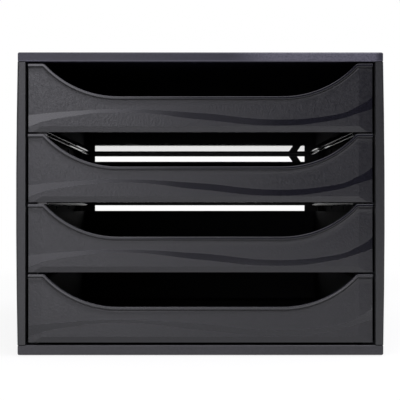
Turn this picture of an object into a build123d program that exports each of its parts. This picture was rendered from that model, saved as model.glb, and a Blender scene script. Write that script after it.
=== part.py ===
from build123d import *
import os
from math import atan2, degrees, radians, sqrt, tan

os.makedirs("parts", exist_ok=True)

# Desktop cabinet with four drawers for A4 papers, all lengths in millimetres.
# X runs to the right, Y to the back and Z up. The feet stand on Z = 0, and the
# origin is under the middle of the cabinet.

# ---- Driving dimensions ----

# Drawer bank
drawer_count = 4
front_width = 265.2  # one drawer front, side to side
front_height = 52.65  # one drawer front, at its ears
front_gap = 1.4  # between two fronts
side_gap = 2.2  # between a front and the side panel
sill_gap = 2.0  # between the lowest front and the bottom panel
lintel_gap = 1.6  # between the highest front and the top panel

# Housing shell
case_depth = 387.0
bottom_rim_height = 7.6
top_rim_height = 7.2
rim_depth = 6.5  # front and rear rims and flanges, front to back
panel_skin = 2.5  # top and bottom panels
side_flange_width = 6.1  # side panel's front edge, where it meets the panels
side_wall = 2.3  # side panel's skin there
side_crown = 1.1  # how far a side panel bows out at half height
panel_step = 0.3  # how far the top and bottom panels lie inside that edge
edge_round = 1.5  # outer edges of the shell
seam_chamfer = 0.5  # where two pieces of the shell meet

# Back frame
back_thickness = 3.0
back_post_width = 19.0
back_head_height = 10.0
back_sill_height = 6.0
crossbar_depth = 8.0
crossbar_lip = 1.6  # how far a crossbar's rear part rises behind its drawer
brace_offset = 8.3  # corner brace's start, from the post
brace_width = 9.0
brace_angle = 55.0  # degrees from the crossbar

# Runners
runner_setback = 10.0  # runners' front ends, behind the front rims
ledge_overlap = 9.0  # how far a ledge reaches under its drawer
ledge_thickness = 2.5
ledge_round = 0.8  # inner edges of a ledge
running_gap = 0.25  # between a drawer's floor and its ledges
hanger_thickness = 2.0
hanger_drop = 4.0
clip_length = 5.0
clip_height = 3.0
clip_proud = 1.2
clip_first = 108.0  # first clip, from the cabinet's front
clip_spacing = 99.0
clip_count = 3
guide_rib = 1.6
guide_height = 8.0
stop_place = 66.0  # stop block's front end, from the cabinet's front
stop_length = 8.0
stop_ramp = 5.0
stop_gap = 0.6  # between the stop block and a drawer's side wall

# Feet
foot_diameter = 13.0
foot_protrusion = 0.8
foot_recess = 1.0
foot_fit = 0.3
foot_side_inset = 28.0  # foot centre, from the panel's edge
foot_end_inset = 40.0

# Drawer tray
front_overhang = 3.6  # front past the tray, on each side
tray_wall = 2.0
tray_wall_height = 45.3
tray_floor = 2.2
tray_corner = 5.0
tray_cove = 1.6
rear_clearance = 3.0  # between a closed drawer and the back frame
lug_length = 7.0
lug_setback = 4.5  # from the tray's rear end
lug_reach = 3.9
lug_foot = 1.0
lug_height = 49.2
guide_gap = 0.7  # between a lug and the guide rib

# Drawer front
face_thickness = 2.8
scoop_height = 27.5  # front's height under the scoop
scoop_radius = 77.0
ear_flat = 10.6  # straight top of an ear, from the front's side
bead_width = 2.4
bead_proud = 1.0
bead_round = 0.7
groove_width = 0.8  # along the bead's lower edge
groove_depth = 0.6
groove_round = 0.8  # groove's lower edge, inside an ear's corner
facet_drop = 1.2  # how far the front's sides fall back
lower_facet_height = 4.5
lower_facet_drop = 0.8

# ---- Places worked out from them ----

front_y = -case_depth / 2
rear_y = case_depth / 2
inner_front_y = front_y + rim_depth
inner_rear_y = rear_y - rim_depth

front_half = front_width / 2
opening_half = front_half + side_gap
side_edge = opening_half + side_flange_width
side_inner = side_edge - side_wall
panel_half = side_edge - panel_step

pitch = front_height + front_gap
case_bottom = foot_protrusion
sill = case_bottom + bottom_rim_height
lintel = sill + sill_gap + drawer_count * pitch - front_gap + lintel_gap

window_half = opening_half - back_post_width
tray_half = front_half - front_overhang
tray_rear = rear_y - back_thickness - rear_clearance
ledge_inner = tray_half - ledge_overlap
guide_inner = tray_half + lug_reach + guide_gap
stop_inner = tray_half + stop_gap
lug_front = tray_rear - lug_setback - lug_length

face_y = front_y + bead_proud
tray_front = face_y + face_thickness
ear_round = bead_width + groove_width + groove_round


def drawer_bottom(number):
    """Height of a drawer's underside, counted from 1 at the top."""
    return sill + sill_gap + (drawer_count - number) * pitch


def upright(y, z=0.0):
    """Plane facing the front at depth y, with its own origin at height z."""
    return Plane(origin=(0, y, z), x_dir=(1, 0, 0), z_dir=(0, -1, 0))


# ---- Housing shell ----


def build_top_panel():
    with BuildPart() as top_panel:
        with BuildSketch(Plane.XY.offset(lintel)):
            Rectangle(2 * panel_half, case_depth)
        extrude(amount=top_rim_height)
        fillet(top_panel.faces().sort_by(Axis.Z)[-1].edges(), edge_round)
        chamfer(top_panel.faces().sort_by(Axis.Z)[0].edges(), seam_chamfer)
        with BuildSketch(Plane.XY.offset(lintel)):
            Rectangle(2 * side_inner, case_depth - 2 * rim_depth)
        extrude(amount=top_rim_height - panel_skin, mode=Mode.SUBTRACT)
    top_panel.part.label = "top_panel"
    export_step(top_panel.part, "parts/top_panel.step")


def foot_places():
    """Names and centres of the four feet."""
    x = panel_half - foot_side_inset
    y = case_depth / 2 - foot_end_inset
    return {
        "foot_front_left": (-x, -y),
        "foot_front_right": (x, -y),
        "foot_rear_left": (-x, y),
        "foot_rear_right": (x, y),
    }


def build_bottom_panel():
    with BuildPart() as bottom_panel:
        with BuildSketch(Plane.XY.offset(case_bottom)):
            Rectangle(2 * panel_half, case_depth)
        extrude(amount=bottom_rim_height)
        fillet(bottom_panel.faces().sort_by(Axis.Z)[0].edges(), edge_round)
        chamfer(bottom_panel.faces().sort_by(Axis.Z)[-1].edges(), seam_chamfer)
        with BuildSketch(Plane.XY.offset(sill)):
            Rectangle(2 * side_inner, case_depth - 2 * rim_depth)
        extrude(amount=panel_skin - bottom_rim_height, mode=Mode.SUBTRACT)
        with BuildSketch(Plane.XY.offset(case_bottom)):
            with Locations(*foot_places().values()):
                Circle(foot_diameter / 2 + foot_fit)
        extrude(amount=foot_recess, mode=Mode.SUBTRACT)
    bottom_panel.part.label = "bottom_panel"
    export_step(bottom_panel.part, "parts/bottom_panel.step")


def build_side_panel(name, side):
    """Side panel at side = -1 on the left or 1 on the right."""
    mid = (sill + lintel) / 2
    with BuildPart() as side_panel:
        with BuildSketch(upright(rear_y)):
            with BuildLine():
                ThreePointArc(
                    (side * side_edge, sill),
                    (side * (side_edge + side_crown), mid),
                    (side * side_edge, lintel),
                )
                Polyline(
                    (side * side_edge, lintel),
                    (side * side_inner, lintel),
                    (side * side_inner, sill),
                    (side * side_edge, sill),
                )
            make_face()
        extrude(amount=case_depth)
        for y in (rear_y, inner_front_y):
            with BuildSketch(upright(y)):
                with Locations((side * (opening_half + side_inner) / 2, mid)):
                    Rectangle(side_inner - opening_half, lintel - sill)
            extrude(amount=rim_depth)
        outer = side_panel.faces().sort_by(Axis.X)[-1 if side > 0 else 0]
        upright_edges = outer.edges().sort_by(Axis.Y)
        fillet([upright_edges[0], upright_edges[-1]], edge_round)
    side_panel.part.label = name
    export_step(side_panel.part, f"parts/{name}.step")


def bar_top(number):
    """Top of the crossbar under a drawer's rear edge."""
    return drawer_bottom(number) - running_gap


def build_back_frame():
    brace_top = bar_top(1) - ledge_thickness
    drop = tan(radians(brace_angle))
    with BuildPart() as back_frame:
        with BuildSketch(upright(rear_y)):
            with Locations((0, (sill + lintel) / 2)):
                Rectangle(2 * opening_half, lintel - sill)
            for number in range(1, drawer_count + 1):
                low = sill + back_sill_height if number == drawer_count else bar_top(number) + crossbar_lip
                high = lintel - back_head_height if number == 1 else bar_top(number - 1) - ledge_thickness
                with Locations((0, (low + high) / 2)):
                    Rectangle(2 * window_half, high - low, mode=Mode.SUBTRACT)
            with BuildLine():
                Polyline(
                    (window_half - brace_offset - brace_width, brace_top),
                    (window_half - brace_offset, brace_top),
                    (window_half, brace_top - brace_offset * drop),
                    (window_half, brace_top - (brace_offset + brace_width) * drop),
                    close=True,
                )
            make_face()
        extrude(amount=back_thickness)
        with BuildSketch(upright(rear_y)):
            for number in range(1, drawer_count):
                with Locations((0, bar_top(number) - ledge_thickness / 2)):
                    Rectangle(2 * window_half, ledge_thickness)
        extrude(amount=crossbar_depth)
    back_frame.part.label = "back_frame"
    export_step(back_frame.part, "parts/back_frame.step")


def build_foot(name, place):
    with BuildPart() as foot:
        with BuildSketch():
            with Locations(place):
                Circle(foot_diameter / 2)
        extrude(amount=foot_protrusion + foot_recess)
    foot.part.label = name
    export_step(foot.part, f"parts/{name}.step")


# ---- Runners ----


def build_runner(name, side, number):
    """Runner strip under one side of a drawer."""
    top = drawer_bottom(number) - running_gap
    under = top - ledge_thickness
    hanger_inner = side_inner - hanger_thickness
    stop_y = front_y + stop_place
    with BuildPart() as runner:
        with BuildSketch(upright(inner_rear_y)) as profile:
            with BuildLine():
                Polyline(
                    (side * ledge_inner, top),
                    (side * guide_inner, top),
                    (side * guide_inner, top + guide_height),
                    (side * (guide_inner + guide_rib), top + guide_height),
                    (side * (guide_inner + guide_rib), top),
                    (side * side_inner, top),
                    (side * side_inner, under - hanger_drop),
                    (side * hanger_inner, under - hanger_drop),
                    (side * hanger_inner, under),
                    (side * ledge_inner, under),
                    close=True,
                )
            make_face()
            fillet(profile.vertices().group_by(Axis.X)[0 if side > 0 else -1], ledge_round)
        extrude(amount=inner_rear_y - inner_front_y - runner_setback)
        with BuildSketch(Plane.XY.offset(top)):
            with BuildLine():
                Polyline(
                    (side * guide_inner, stop_y - stop_ramp),
                    (side * stop_inner, stop_y),
                    (side * stop_inner, stop_y + stop_length),
                    (side * guide_inner, stop_y + stop_length),
                    close=True,
                )
            make_face()
        extrude(amount=guide_height)
        clip_plane = Plane(
            origin=(side * hanger_inner, front_y + clip_first, under - hanger_drop / 2),
            x_dir=(0, 1, 0),
            z_dir=(-side, 0, 0),
        )
        with BuildSketch(clip_plane):
            for index in range(clip_count):
                with Locations((index * clip_spacing, 0)):
                    Rectangle(clip_length, clip_height)
        extrude(amount=clip_proud)
    runner.part.label = name
    export_step(runner.part, f"parts/{name}.step")


# ---- Drawers ----

ear_centre = (front_half - ear_flat, front_height - ear_round)
centres_rise = scoop_height + scoop_radius - ear_centre[1]
centres_run = sqrt((scoop_radius + ear_round) ** 2 - centres_rise**2)
scoop_centre = (ear_centre[0] - centres_run, ear_centre[1] + centres_rise)
ear_angle = degrees(atan2(-centres_rise, centres_run))


def scoop_line(drop):
    """Right half of the front's top edge, or of a line that runs at drop below it."""
    flat = scoop_height - drop
    top = front_height - drop
    Line((0, flat), (scoop_centre[0], flat))
    CenterArc(scoop_centre, scoop_radius + drop, -90, ear_angle + 90)
    CenterArc(ear_centre, ear_round - drop, 180 + ear_angle, -90 - ear_angle)
    Line((ear_centre[0], top), (front_half, top))


def front_plan(y, thickness):
    """Corners of a plan whose sides fall back from where the ears' tops start."""
    return [
        (-front_half, y + facet_drop),
        (-ear_centre[0], y),
        (ear_centre[0], y),
        (front_half, y + facet_drop),
        (front_half, y + facet_drop + thickness),
        (ear_centre[0], y + thickness),
        (-ear_centre[0], y + thickness),
        (-front_half, y + facet_drop + thickness),
    ]


def build_face(bottom):
    """Front plate with its scoop, side facets, lower facet and the groove under the bead."""
    back_y = face_y + face_thickness + facet_drop
    with BuildPart() as face:
        with BuildSketch(upright(back_y, bottom)):
            with BuildLine():
                scoop_line(0)
                Line((front_half, front_height), (front_half, 0))
                Line((front_half, 0), (0, 0))
                mirror(about=Plane.YZ)
            make_face()
        extrude(amount=back_y - face_y)
        with BuildSketch(Plane.XY.offset(bottom)):
            with BuildLine():
                Polyline(*front_plan(face_y, face_thickness), close=True)
            make_face()
        extrude(amount=front_height, mode=Mode.INTERSECT)
        with BuildSketch(Plane.YZ.offset(-front_half)):
            with BuildLine():
                Polyline(
                    (face_y, bottom),
                    (face_y + lower_facet_drop, bottom),
                    (face_y, bottom + lower_facet_height),
                    close=True,
                )
            make_face()
        extrude(amount=front_width, mode=Mode.SUBTRACT)
        with BuildSketch(upright(face_y + groove_depth, bottom)):
            with BuildLine():
                scoop_line(bead_width)
                scoop_line(bead_width + groove_width)
                Line((front_half, front_height - bead_width), (front_half, front_height - bead_width - groove_width))
                mirror(about=Plane.YZ)
            make_face()
        extrude(amount=groove_depth, mode=Mode.SUBTRACT)
    return face.part


def build_bead(bottom):
    """Rounded bead along the front's top edge, rooted in the face behind it."""
    back_y = face_y + facet_drop
    with BuildPart() as bead:
        with BuildSketch(upright(back_y, bottom)):
            with BuildLine():
                scoop_line(0)
                scoop_line(bead_width)
                Line((front_half, front_height), (front_half, front_height - bead_width))
                mirror(about=Plane.YZ)
            make_face()
        extrude(amount=back_y - front_y)
        rim = bead.faces().sort_by(Axis.Y)[0].edges()
        fillet(rim.filter_by(Axis.Z, reverse=True), bead_round)
    return bead.part


def build_hollow(bottom):
    """Inside of the tray, with rounded corners and coved floor edges."""
    length = tray_rear - tray_wall - tray_front
    with BuildPart() as hollow:
        with BuildSketch(Plane.XY.offset(bottom + tray_floor)):
            with Locations((0, tray_front + length / 2)):
                RectangleRounded(2 * (tray_half - tray_wall), length, tray_corner)
        extrude(amount=tray_wall_height - tray_floor)
        chamfer(hollow.faces().sort_by(Axis.Z)[0].edges(), tray_cove)
    return hollow.part


def build_drawer(name, number):
    """One-piece drawer: tray with stop lugs, and its front."""
    bottom = drawer_bottom(number)
    face = build_face(bottom)
    bead = build_bead(bottom)
    hollow = build_hollow(bottom)
    with BuildPart() as drawer:
        with BuildSketch(Plane.XY.offset(bottom)):
            with Locations((0, (tray_front + tray_rear) / 2)):
                Rectangle(2 * tray_half, tray_rear - tray_front)
        extrude(amount=tray_wall_height)
        add(hollow, mode=Mode.SUBTRACT)
        add(face)
        add(bead)
        with BuildSketch(Plane.XY.offset(bottom + lug_foot)):
            for side in (-1, 1):
                with Locations((side * (tray_half + lug_reach / 2), lug_front + lug_length / 2)):
                    Rectangle(lug_reach, lug_length)
        extrude(amount=lug_height)
    drawer.part.label = name
    export_step(drawer.part, f"parts/{name}.step")


build_top_panel()
build_bottom_panel()
build_side_panel("left_side_panel", -1)
build_side_panel("right_side_panel", 1)
build_back_frame()
for foot_name, foot_place in foot_places().items():
    build_foot(foot_name, foot_place)
for level in range(1, drawer_count + 1):
    build_runner(f"runner_left_{level}", -1, level)
    build_runner(f"runner_right_{level}", 1, level)
    build_drawer(f"drawer_{level}", level)
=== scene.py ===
import math

import bpy
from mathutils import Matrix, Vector


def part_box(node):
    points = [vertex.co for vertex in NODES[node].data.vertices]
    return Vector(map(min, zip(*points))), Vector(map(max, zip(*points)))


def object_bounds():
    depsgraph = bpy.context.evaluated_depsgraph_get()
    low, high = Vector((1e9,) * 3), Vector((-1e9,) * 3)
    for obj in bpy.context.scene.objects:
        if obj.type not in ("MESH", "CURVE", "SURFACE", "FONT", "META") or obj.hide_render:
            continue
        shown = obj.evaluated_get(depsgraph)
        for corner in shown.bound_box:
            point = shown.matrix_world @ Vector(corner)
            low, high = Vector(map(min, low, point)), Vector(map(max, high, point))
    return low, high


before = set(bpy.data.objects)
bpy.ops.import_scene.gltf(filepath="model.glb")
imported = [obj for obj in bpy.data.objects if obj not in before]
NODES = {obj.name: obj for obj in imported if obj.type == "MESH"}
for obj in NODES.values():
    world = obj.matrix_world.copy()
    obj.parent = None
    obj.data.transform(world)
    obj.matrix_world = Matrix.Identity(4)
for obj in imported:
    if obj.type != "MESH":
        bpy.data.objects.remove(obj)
cad_low, cad_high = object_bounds()

# Desktop cabinet with four drawers. Metres unless a name ends in _MM; X right, Y to the back, Z up.

MM = 0.001
DRAWERS = sorted(name for name in NODES if name.startswith("drawer_"))
FEET = [name for name in NODES if name.startswith("foot_")]
RUNNERS = [name for name in NODES if name.startswith("runner_")]

# Housing
FRONT_Y = cad_low.y
SILL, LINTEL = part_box("bottom_panel")[1].z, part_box("top_panel")[0].z
SIDE_INNER = 138.6 * MM  # inner faces of the side panels
OPENING_HALF = 134.8 * MM  # half the width between the side panels' front flanges
HANGER_X = 130.0 * MM  # a runner has its ledge inside this, its hanger and guide outside

# Drawers: the lowest one's underside and the step from one to the next
DRAWER_BOTTOMS = sorted(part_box(name)[0].z for name in DRAWERS)
FIRST_BOTTOM = DRAWER_BOTTOMS[0]
DRAWER_PITCH = DRAWER_BOTTOMS[1] - DRAWER_BOTTOMS[0]

# Drawer fronts, with heights above a drawer's underside
BEAD_PROUD = 1.0 * MM
FACE_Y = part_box(DRAWERS[0])[0].y + BEAD_PROUD
EAR_TOP_MM = 52.65
SCOOP_X_MM, SCOOP_Z_MM = 63.33, 104.5  # centre of the scoop's right-hand arc
SCOOP_RADIUS_MM = 77.0
GROOVE_NEAR_MM, GROOVE_FAR_MM = 2.4, 3.2  # the groove's two edges, below the front's top edge


# ---- Small helpers for node materials ----


def new_material(name):
    """A material and its emptied node tree."""
    material = bpy.data.materials.new(name)
    material.use_nodes = True
    tree = material.node_tree
    tree.nodes.clear()
    return material, tree


def node(tree, kind, inputs=None, **settings):
    """Adds a node, sets its properties and its input sockets or links."""
    made = tree.nodes.new(kind)
    for key, value in settings.items():
        setattr(made, key, value)
    for key, value in (inputs or {}).items():
        if isinstance(value, bpy.types.NodeSocket):
            tree.links.new(value, made.inputs[key])
        else:
            made.inputs[key].default_value = value
    return made


def maths(tree, operation, *values, clamp=False):
    inputs = dict(enumerate(values))
    return node(tree, "ShaderNodeMath", inputs, operation=operation, use_clamp=clamp).outputs[0]


def minus(tree, first, second, clamp=False):
    return maths(tree, "SUBTRACT", first, second, clamp=clamp)


def times(tree, first, *others):
    """All values multiplied."""
    for other in others:
        first = maths(tree, "MULTIPLY", first, other)
    return first


def ramp(tree, value, start, end, low=0.0, high=1.0):
    """Runs smoothly from low at start to high at end."""
    made = node(tree, "ShaderNodeMapRange", {0: value, 1: start, 2: end, 3: low, 4: high})
    made.interpolation_type = "SMOOTHSTEP"
    return made.outputs[0]


def mix_value(tree, factor, low, high):
    """low where the factor is 0 and high where it is 1."""
    made = node(tree, "ShaderNodeMix", {0: factor, 2: low, 3: high}, data_type="FLOAT")
    return made.outputs[0]


def mix_colour(tree, factor, low, high):
    """low where the factor is 0 and high where it is 1."""
    made = node(tree, "ShaderNodeMix", {0: factor, 6: low, 7: high}, data_type="RGBA")
    return made.outputs[2]


def place(tree):
    """Object coordinates, from the frame's origin."""
    return node(tree, "ShaderNodeTexCoord").outputs["Object"]


def axes(tree):
    """The place's X, Y and Z."""
    return node(tree, "ShaderNodeSeparateXYZ", {0: place(tree)}).outputs


def slope(tree):
    """0 on upright faces and 1 on level ones."""
    normal = node(tree, "ShaderNodeTexCoord").outputs["Normal"]
    return maths(tree, "ABSOLUTE", node(tree, "ShaderNodeSeparateXYZ", {0: normal}).outputs["Z"])


NOISE_LOW, NOISE_HIGH = 0.3, 0.7  # nearly all of a noise's values lie between them
SLOW_DETAIL, PLAIN_DETAIL, FINE_DETAIL = 2.0, 3.0, 4.0


def grain(tree, size, detail=PLAIN_DETAIL):
    """Noise with grains about one size wide."""
    inputs = {"Vector": place(tree), "Scale": 1.0 / size, "Detail": detail}
    return node(tree, "ShaderNodeTexNoise", inputs).outputs["Fac"]


def spread(tree, noise, low, high):
    """Noise stretched to run from low to high."""
    return ramp(tree, noise, NOISE_LOW, NOISE_HIGH, low, high)


def specks(tree, size, amount):
    """A factor that strays from 1 by up to the amount, in fine specks."""
    return spread(tree, grain(tree, size), 1.0 - amount, 1.0 + amount)


def tinted(tree, colour, tint):
    """The colour made darker or paler by a factor."""
    inputs = {0: colour[:3], "Scale": tint}
    return node(tree, "ShaderNodeVectorMath", inputs, operation="SCALE").outputs[0]


def length(tree, vector):
    return node(tree, "ShaderNodeVectorMath", {0: vector}, operation="LENGTH").outputs["Value"]


def curve_through(tree, value, points):
    """A smooth curve through a few (place, height) points, both from 0 to 1."""
    made = node(tree, "ShaderNodeFloatCurve", {"Value": value})
    line = made.mapping.curves[0]
    for _ in points[2:]:
        line.points.new(0.5, 0.5)
    for point, location in zip(line.points, points):
        point.location = location
        point.handle_type = "AUTO"
    made.mapping.update()
    return made.outputs[0]


def finish_plastic(tree, shade, rough, relief, relief_scale):
    """Shader with a colour, a roughness and a relief that the scale turns into metres."""
    bump = node(tree, "ShaderNodeBump", {"Height": relief, "Distance": relief_scale, "Strength": 1.0})
    inputs = {"Base Color": shade, "Roughness": rough, "Normal": bump.outputs[0]}
    shader = node(tree, "ShaderNodeBsdfPrincipled", inputs)
    node(tree, "ShaderNodeOutputMaterial", {"Surface": shader.outputs[0]})


# ---- Camera ----

PICTURE_SIDE = 400  # pixels
VANISHING_X, VANISHING_Y = 198.3, 204.4  # where lines along Y meet, in pixels from the top left
PICTURE_SCALE = 1300.0  # pixels to the metre at the cabinet's front
SENSOR_WIDTH_MM = 36.0
CAMERA_DISTANCE = 0.880
CAMERA_X, CAMERA_Z = -0.00165, 0.1168
CLIP_NEAR, CLIP_FAR = 0.02, 50.0


def make_camera():
    data = bpy.data.cameras.new("camera")
    focal_pixels = PICTURE_SCALE * CAMERA_DISTANCE
    data.sensor_width = SENSOR_WIDTH_MM
    data.lens = focal_pixels / PICTURE_SIDE * SENSOR_WIDTH_MM
    data.clip_start, data.clip_end = CLIP_NEAR, CLIP_FAR
    camera = bpy.data.objects.new("camera", data)
    camera.location = (CAMERA_X, FRONT_Y - CAMERA_DISTANCE, CAMERA_Z)
    half = PICTURE_SIDE / 2
    aim = Vector(((half - VANISHING_X) / focal_pixels, 1.0, (VANISHING_Y - half) / focal_pixels))
    camera.rotation_euler = aim.to_track_quat("-Z", "Y").to_euler()
    bpy.context.scene.collection.objects.link(camera)
    bpy.context.scene.camera = camera


# ---- Floor and background ----

FLOOR_FRONT, FLOOR_BACK, FLOOR_SIDE = -1.25, 5.0, 5.0
FLOOR_PAPER = (0.88, 0.88, 0.88, 1)
SHADOW_NEAR, SHADOW_FAR = 0.45, 1.1  # distances between which the floor's shadow fades out
SHADOW_HIDDEN = 0.85  # share of the shadow that white hides near the cabinet
WHITE = (1, 1, 1, 1)


def make_floor():
    """White sheet under the cabinet; camera and reflections see it white, with a light shadow."""
    mesh = bpy.data.meshes.new("floor")
    corners = [
        (-FLOOR_SIDE, FLOOR_FRONT, 0),
        (FLOOR_SIDE, FLOOR_FRONT, 0),
        (FLOOR_SIDE, FLOOR_BACK, 0),
        (-FLOOR_SIDE, FLOOR_BACK, 0),
    ]
    mesh.from_pydata(corners, [], [(0, 1, 2, 3)])
    floor = bpy.data.objects.new("floor", mesh)
    bpy.context.scene.collection.objects.link(floor)
    material, tree = new_material("floor_paper")
    ray = node(tree, "ShaderNodeLightPath")
    seen = maths(tree, "MAXIMUM", ray.outputs["Is Camera Ray"], ray.outputs["Is Transmission Ray"])
    seen = maths(tree, "MAXIMUM", seen, ray.outputs["Is Glossy Ray"])
    hidden = ramp(tree, length(tree, place(tree)), SHADOW_NEAR, SHADOW_FAR, SHADOW_HIDDEN, 1.0)
    glow = node(tree, "ShaderNodeEmission", {"Color": WHITE, "Strength": 1.0}).outputs[0]
    paper = node(tree, "ShaderNodeBsdfDiffuse", {"Color": FLOOR_PAPER}).outputs[0]
    shader = node(tree, "ShaderNodeMixShader", {0: times(tree, seen, hidden), 1: paper, 2: glow})
    node(tree, "ShaderNodeOutputMaterial", {"Surface": shader.outputs[0]})
    mesh.materials.append(material)


WORLD_SOFT = 0.45
WORLD_FRONT, WORLD_BEHIND = 0.05, 1.0  # what reflections show
FRONT_DEPTH, BEHIND_DEPTH = -0.35, 0.10  # a direction's Y where each of them starts


def make_world():
    """White behind the cabinet, dark in front of it for reflections, and a soft even light."""
    world = bpy.data.worlds.new("studio")
    bpy.context.scene.world = world
    world.use_nodes = True
    tree = world.node_tree
    tree.nodes.clear()
    ray = node(tree, "ShaderNodeLightPath")
    direction = node(tree, "ShaderNodeTexCoord").outputs["Generated"]
    depth = node(tree, "ShaderNodeSeparateXYZ", {0: direction}).outputs["Y"]
    reflected = ramp(tree, depth, FRONT_DEPTH, BEHIND_DEPTH, WORLD_FRONT, WORLD_BEHIND)
    mirrored = maths(tree, "MAXIMUM", ray.outputs["Is Glossy Ray"], ray.outputs["Is Transmission Ray"])
    light = mix_value(tree, mirrored, WORLD_SOFT, reflected)
    strength = mix_value(tree, ray.outputs["Is Camera Ray"], light, 1.0)
    background = node(tree, "ShaderNodeBackground", {"Color": WHITE, "Strength": strength})
    node(tree, "ShaderNodeOutputWorld", {"Surface": background.outputs[0]})


# ---- Lights ----

LIGHT_COLOUR = (0.955, 0.94, 1.0)

# A softbox behind the camera on the left, mirrored in the drawers' polished band. It fades to the
# right in upright panels, and grows brighter from its foot to its head.
SOFTBOX_Y = FRONT_Y - 2.0
SOFTBOX_EDGES = (-1.15, -0.27, -0.17, -0.08, 0.17)  # left to right
SOFTBOX_GLOW = (3.6, 2.2, 1.1, 0.35)  # of each panel between them
SOFTBOX_ROWS = (  # foot, top and share of the glow
    (-0.2, 0.27, 0.60),
    (0.27, 0.50, 0.97),
    (0.50, 1.15, 1.45),
)

OVERHEAD_PLACE, OVERHEAD_TARGET = (0.35, -0.55, 1.5), (0, -0.05, 0.12)
OVERHEAD_SIZE, OVERHEAD_WATTS = (2.2, 1.2), 29.0

# A thin strip lying low in front lifts the lowest drawer and the foot of the frame.
STRIP_PLACE = (0.10, FRONT_Y - 0.47, 0.014)
STRIP_TARGET = (STRIP_PLACE[0], 0, STRIP_PLACE[2])
STRIP_SIZE, STRIP_WATTS = (0.8, 0.026), 0.17


def make_lamp(name, location, target, size, watts):
    data = bpy.data.lights.new(name, "AREA")
    data.shape = "RECTANGLE"
    data.size, data.size_y = size
    data.energy = watts
    data.color = LIGHT_COLOUR
    lamp = bpy.data.objects.new(name, data)
    lamp.location = location
    aim = Vector(target) - Vector(location)
    lamp.rotation_euler = aim.to_track_quat("-Z", "Y").to_euler()
    lamp.visible_camera = False
    bpy.context.scene.collection.objects.link(lamp)


def make_lights():
    panels = zip(SOFTBOX_EDGES, SOFTBOX_EDGES[1:], SOFTBOX_GLOW)
    for number, (left, right, glow) in enumerate(panels, 1):
        for row, (low, high, share) in enumerate(SOFTBOX_ROWS, 1):
            x, z = (left + right) / 2, (low + high) / 2
            size = (right - left, high - low)
            watts = glow * share * math.pi * size[0] * size[1]
            make_lamp(f"softbox_{row}_{number}", (x, SOFTBOX_Y, z), (x, 0, z), size, watts)
    make_lamp("overhead", OVERHEAD_PLACE, OVERHEAD_TARGET, OVERHEAD_SIZE, OVERHEAD_WATTS)
    make_lamp("strip", STRIP_PLACE, STRIP_TARGET, STRIP_SIZE, STRIP_WATTS)


# ---- Housing, back frame and feet ----

TOP_BLACK = (0.0075, 0.0070, 0.0185, 1)
# Colour that paints highlights on the top panel's front
TOP_PAINTED_HIGHLIGHT = (0.070, 0.067, 0.092, 1)
SIDE_BLACK = (0.0085, 0.0087, 0.0107, 1)
BOTTOM_BLACK = (0.0140, 0.0135, 0.0180, 1)
FRAME_BLACK = (0.0070, 0.0080, 0.0105, 1)
RUBBER_BLACK = (0.012, 0.012, 0.012, 1)

PANEL_ROUGH, SIDE_ROUGH, FRAME_ROUGH, RUBBER_ROUGH = 0.44, 0.40, 0.40, 0.8
SHELL_SKIN = (1.6 * MM, 0.1 * MM)  # width and height of its grains
FRAME_SKIN = (1.5 * MM, 0.02 * MM)
RUBBER_SKIN = (0.8 * MM, 0.03 * MM)
SKIN_SPECKS, SKIN_TINT = 1.4 * MM, 0.25
GLOSS_PATCH = 110 * MM  # slow changes of gloss and tone across a panel
PATCH_TINT, PATCH_ROUGH = 0.12, 0.03

# Seams: their roughness, and the tint of the painted shade in them
SEAM_ROUGH, SEAM_SHADE_TINT = 1.0, 0.1
WALL_ROUGH = 0.8  # side panels' inner walls

# Each pair says where a mark fades out and where it is full.
SEAM_FADE = (0.45 * MM, 0.25 * MM)  # from a seam's middle
FLANGE_FADE = (-0.2 * MM, 0.2 * MM)  # past a front flange's inner edge
WALL_FADE = (0.6 * MM, 0.3 * MM)  # past an inner wall's face
RIM_FADE = (1.5 * MM, 2.5 * MM)  # behind the foremost face
OPENING_FADE = (-0.5 * MM, 0.5 * MM)  # inside the opening's sill and lintel
FACE_FADE = (1.2 * MM, 0.3 * MM)  # behind the foremost face
# Where the painted highlights on the top panel's front lie: a stretch along X, in specks, and a line
# just above the lintel.
HIGHLIGHT_LEFT, HIGHLIGHT_RIGHT = (18 * MM, 62 * MM), (139 * MM, 133 * MM)  # along X
EDGE_HIGHLIGHT_FADE = (1.3 * MM, 0.8 * MM)  # above the lintel
HIGHLIGHT_SPECKS, HIGHLIGHT_NOISE, HIGHLIGHT_STRENGTH = 1.1 * MM, (0.32, 0.68), (0.35, 1.35)
EDGE_HIGHLIGHT_STRENGTH = 0.5


def front_face_mask(tree, y):
    """1 on the foremost faces of the housing."""
    return ramp(tree, minus(tree, y, FRONT_Y), *FACE_FADE)


def shaded_seam_mask(tree, x, z):
    """1 in the joints between the side panels and the top and bottom panels, which lie in shade; their
    darkening is painted shade.
    """
    joints = [maths(tree, "ABSOLUTE", minus(tree, z, joint)) for joint in (SILL, LINTEL)]
    near = ramp(tree, maths(tree, "MINIMUM", *joints), *SEAM_FADE)
    past_edge = minus(tree, maths(tree, "ABSOLUTE", x), OPENING_HALF)
    return times(tree, near, ramp(tree, past_edge, *FLANGE_FADE))


def inside_mask(tree, x, y, z):
    """1 on the side panels' inner walls."""
    wall = ramp(tree, minus(tree, maths(tree, "ABSOLUTE", x), SIDE_INNER), *WALL_FADE)
    behind_rim = ramp(tree, minus(tree, y, FRONT_Y), *RIM_FADE)
    below_top = ramp(tree, minus(tree, LINTEL, z), *OPENING_FADE)
    above_floor = ramp(tree, minus(tree, z, SILL), *OPENING_FADE)
    return times(tree, wall, behind_rim, below_top, above_floor)


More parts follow.
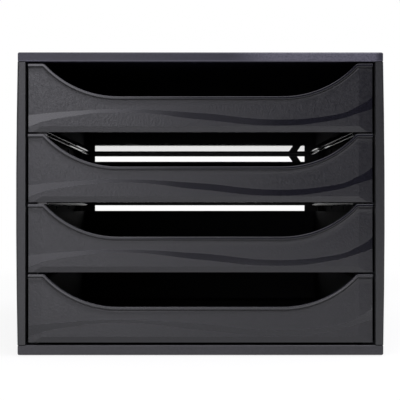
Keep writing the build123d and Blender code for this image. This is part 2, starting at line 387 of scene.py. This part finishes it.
def painted_highlight_mask(tree, x, y):
    """1 on the stretch of the top panel's front edge that is painted paler as a highlight, in fine
    specks.
    """
    stretch = times(tree, ramp(tree, x, *HIGHLIGHT_LEFT), ramp(tree, x, *HIGHLIGHT_RIGHT))
    speckled = ramp(tree, grain(tree, HIGHLIGHT_SPECKS, FINE_DETAIL), *HIGHLIGHT_NOISE, *HIGHLIGHT_STRENGTH)
    return times(tree, stretch, front_face_mask(tree, y), speckled)


def painted_edge_highlight_mask(tree, y, z):
    """1 on the lower edge of the top panel's front, painted paler as a highlight."""
    edge = ramp(tree, minus(tree, z, LINTEL), *EDGE_HIGHLIGHT_FADE)
    return times(tree, edge, front_face_mask(tree, y), EDGE_HIGHLIGHT_STRENGTH)


def moulded_plastic(name, colour, roughness, skin, shell=False, painted_highlight=None):
    """Near-black moulded plastic with a fine skin grain and slow changes of gloss."""
    material, tree = new_material(name)
    patches = grain(tree, GLOSS_PATCH, SLOW_DETAIL)
    tint = spread(tree, patches, 1.0 - PATCH_TINT, 1.0 + PATCH_TINT)
    rough = spread(tree, patches, roughness - PATCH_ROUGH, roughness + PATCH_ROUGH)
    x, y, z = axes(tree)
    if shell:
        rough = mix_value(tree, inside_mask(tree, x, y, z), rough, WALL_ROUGH)
        # Seams get painted shade in their colour, and a rough finish.
        seam = shaded_seam_mask(tree, x, z)
        tint = mix_value(tree, seam, tint, SEAM_SHADE_TINT)
        rough = mix_value(tree, seam, rough, SEAM_ROUGH)
    tint = times(tree, tint, specks(tree, SKIN_SPECKS, SKIN_TINT))
    shade = tinted(tree, colour, tint)
    # Painted highlights lighten the top panel's front edge and its lower edge.
    if painted_highlight:
        painted_light = maths(tree, "MAXIMUM", painted_highlight_mask(tree, x, y), painted_edge_highlight_mask(tree, y, z))
        shade = mix_colour(tree, painted_light, shade, painted_highlight)
    grain_size, grain_height = skin
    finish_plastic(tree, shade, rough, grain(tree, grain_size, FINE_DETAIL), grain_height)
    return material


# ---- Runners ----

UPRIGHT_ROUGH = 0.75
LEDGE_GLOSS, LEDGE_PATCH = (0.035, 0.065), 50 * MM
LEDGE_FADE = (0.0, 4 * MM)  # inside the hanger: where a ledge's gloss starts and where it is full
LEDGE_SLOPE = (0.15, 0.45)  # slopes between which a face turns glossy
RUNNER_SPECKS, RUNNER_TINT = 1.5 * MM, 0.15
RUNNER_GRAIN, RUNNER_RELIEF = 1.5 * MM, 0.004 * MM


def runner_plastic():
    """Gloss on the ledges that the drawers slide on, a matt skin on upright faces."""
    material, tree = new_material("runner_plastic")
    level = ramp(tree, slope(tree), *LEDGE_SLOPE)
    inwards = minus(tree, HANGER_X, maths(tree, "ABSOLUTE", axes(tree)[0]))
    glossy = maths(tree, "MAXIMUM", level, ramp(tree, inwards, *LEDGE_FADE))
    gloss = spread(tree, grain(tree, LEDGE_PATCH, SLOW_DETAIL), *LEDGE_GLOSS)
    rough = mix_value(tree, glossy, UPRIGHT_ROUGH, gloss)
    shade = tinted(tree, FRAME_BLACK, specks(tree, RUNNER_SPECKS, RUNNER_TINT))
    finish_plastic(tree, shade, rough, grain(tree, RUNNER_GRAIN), RUNNER_RELIEF)
    return material


# ---- Drawers ----

DRAWER_BLACK = (0.0056, 0.0054, 0.0088, 1)
DRAWER_SPECKS, DRAWER_TINT = 1.2 * MM, 0.20
DRAWER_PATCH = 90 * MM  # slow changes of gloss
TRAY_WALL_ROUGH = 0.70
TRAY_FLOOR_GLOSS = (0.015, 0.03)
TRAY_SLOPE = (0.6, 0.8)  # slopes between which a face turns glossy

# Satin skin of the fronts
SKIN_FADE = (3.2 * MM, 3.0 * MM)  # behind the face: where it fades out and where it is full
SATIN_ROUGH = (0.33, 0.38)
MOTTLE, MOTTLE_NOISE, MOTTLE_ROUGH = 3.2 * MM, (0.25, 0.75), (-0.05, 0.05)
SATIN_GRAIN, SATIN_DETAIL, SATIN_RELIEF = 1.8 * MM, 5.0, 0.14 * MM

# Polished bead along the top edge, and the groove under it
BEAD_ROUGH = 0.14
BEAD_FADE = (-0.05 * MM, -0.2 * MM)  # before the face: where it fades out and where it is full
# The groove's roughness, and the tint of the painted shade that darkens it
GROOVE_ROUGH, GROOVE_SHADE_TINT = 0.56, 0.4
GROOVE_BLUR_MM = 0.1
SWELL_WIDTH_MM, SWELL_RISE = 4.5, 0.34 * MM  # the front swells towards the groove
EDGE_WIDTH_MM, EDGE_DROP = 0.8, 0.22 * MM  # rounding of the groove's lower edge

# Polished band that waves across the front: place across and height of its two edges
BAND_ROUGH = 0.11
BAND_BLUR = 0.15 * MM
BAND_HALF_MM = 133.0  # how far the band runs to each side, just past the front's edges
BAND_RISE_MM = 30.0  # height of the strip that holds the band
BAND_TOP_MM = (
    (-133, 13),
    (-100, 16),
    (-64, 17.6),
    (0, 14.6),
    (62, 9.6),
    (100, 12.7),
    (122, 20.2),
    (133, 27.5),
)
BAND_FOOT_MM = (
    (-133, 4.0),
    (-100, 12),
    (-62, 15.2),
    (0, 9.7),
    (62, 5.0),
    (100, 8.7),
    (122, 14.6),
    (133, 18.2),
)


def drop_below_rim(tree, x, height):
    """Distance in mm from the front's top edge, along its ears and its scoop."""
    across = times(tree, maths(tree, "ABSOLUTE", x), 1 / MM)
    across = maths(tree, "MAXIMUM", minus(tree, across, SCOOP_X_MM), 0.0)
    high = times(tree, height, 1 / MM)
    to_centre = node(tree, "ShaderNodeCombineXYZ", {0: across, 1: minus(tree, SCOOP_Z_MM, high)})
    below_scoop = minus(tree, length(tree, to_centre.outputs[0]), SCOOP_RADIUS_MM)
    return maths(tree, "MINIMUM", below_scoop, minus(tree, EAR_TOP_MM, high))


def band_mask(tree, across, height):
    """1 inside the wavy band that crosses each drawer's front, 0 outside it."""
    half = BAND_HALF_MM * MM
    steps = node(tree, "ShaderNodeMapRange", {0: across, 1: -half, 2: half}).outputs[0]

    def edge(points):
        scaled = [((x + BAND_HALF_MM) / (2 * BAND_HALF_MM), z / BAND_RISE_MM) for x, z in points]
        return times(tree, curve_through(tree, steps, scaled), BAND_RISE_MM * MM)

    below_top = ramp(tree, minus(tree, edge(BAND_TOP_MM), height), -BAND_BLUR, BAND_BLUR)
    above_foot = ramp(tree, minus(tree, height, edge(BAND_FOOT_MM)), -BAND_BLUR, BAND_BLUR)
    return times(tree, below_top, above_foot)


def groove_mask(tree, drop):
    """1 in the groove's own width below the front's top edge."""
    below_bead = ramp(tree, drop, GROOVE_NEAR_MM - GROOVE_BLUR_MM, GROOVE_NEAR_MM + GROOVE_BLUR_MM)
    above_face = ramp(tree, drop, GROOVE_FAR_MM + GROOVE_BLUR_MM, GROOVE_FAR_MM - GROOVE_BLUR_MM)
    return times(tree, below_bead, above_face)


def groove_lip(tree, drop):
    """Relief of the face below the groove: a slow swell up to it, then a rounded edge."""
    to_flat = minus(tree, GROOVE_FAR_MM + SWELL_WIDTH_MM, drop)
    share = maths(tree, "DIVIDE", to_flat, SWELL_WIDTH_MM, clamp=True)
    swell = times(tree, share, share, SWELL_RISE)
    edge = ramp(tree, drop, GROOVE_FAR_MM, GROOVE_FAR_MM + EDGE_WIDTH_MM, -EDGE_DROP, 0.0)
    return maths(tree, "ADD", swell, edge)


def drawer_plastic():
    """Gloss black tray with satin walls; its front has a satin skin, a polished band and bead."""
    material, tree = new_material("drawer_plastic")
    x, y, z = axes(tree)
    height = maths(tree, "FLOORED_MODULO", minus(tree, z, FIRST_BOTTOM), DRAWER_PITCH)
    drop = drop_below_rim(tree, x, height)
    behind_face = minus(tree, y, FACE_Y)
    skin, bead = ramp(tree, behind_face, *SKIN_FADE), ramp(tree, behind_face, *BEAD_FADE)
    polished = maths(tree, "MAXIMUM", band_mask(tree, x, height), bead)
    groove = times(tree, groove_mask(tree, drop), minus(tree, skin, bead, clamp=True))

    patches = grain(tree, DRAWER_PATCH, SLOW_DETAIL)
    mottle = ramp(tree, grain(tree, MOTTLE, FINE_DETAIL), *MOTTLE_NOISE, *MOTTLE_ROUGH)
    satin = maths(tree, "ADD", spread(tree, patches, *SATIN_ROUGH), mottle)
    front = mix_value(tree, polished, satin, mix_value(tree, bead, BAND_ROUGH, BEAD_ROUGH))
    front = mix_value(tree, groove, front, GROOVE_ROUGH)
    level = ramp(tree, slope(tree), *TRAY_SLOPE)
    tray = mix_value(tree, level, TRAY_WALL_ROUGH, spread(tree, patches, *TRAY_FLOOR_GLOSS))
    rough = mix_value(tree, skin, tray, front)

    # The groove's colour is darkened as painted shade.
    tint = mix_value(tree, groove, specks(tree, DRAWER_SPECKS, DRAWER_TINT), GROOVE_SHADE_TINT)
    shade = tinted(tree, DRAWER_BLACK, tint)

    matt = times(tree, minus(tree, 1.0, polished), skin)
    fine = times(tree, minus(tree, grain(tree, SATIN_GRAIN, SATIN_DETAIL), 0.5), matt)
    lip = times(tree, groove_lip(tree, drop), matt)
    relief = maths(tree, "MULTIPLY_ADD", fine, SATIN_RELIEF, lip)
    finish_plastic(tree, shade, rough, relief, 1.0)
    return material


# ---- The dressed cabinet ----


def dress(names, material):
    for name in names:
        mesh = NODES[name].data
        mesh.materials.clear()
        mesh.materials.append(material)


make_camera()
make_floor()
make_world()
make_lights()

for name, nodes, colour, roughness, painted_highlight in (
    # the top panel's last entry is the colour of its painted highlights
    ("top_plastic", ["top_panel"], TOP_BLACK, PANEL_ROUGH, TOP_PAINTED_HIGHLIGHT),
    ("side_plastic", ["left_side_panel", "right_side_panel"], SIDE_BLACK, SIDE_ROUGH, None),
    ("bottom_plastic", ["bottom_panel"], BOTTOM_BLACK, PANEL_ROUGH, None),
):
    plastic = moulded_plastic(name, colour, roughness, SHELL_SKIN, shell=True, painted_highlight=painted_highlight)
    dress(nodes, plastic)
dress(["back_frame"], moulded_plastic("frame_plastic", FRAME_BLACK, FRAME_ROUGH, FRAME_SKIN))
dress(RUNNERS, runner_plastic())
dress(DRAWERS, drawer_plastic())
dress(FEET, moulded_plastic("rubber", RUBBER_BLACK, RUBBER_ROUGH, RUBBER_SKIN))

settings = bpy.context.scene.view_settings
settings.view_transform = "Standard"
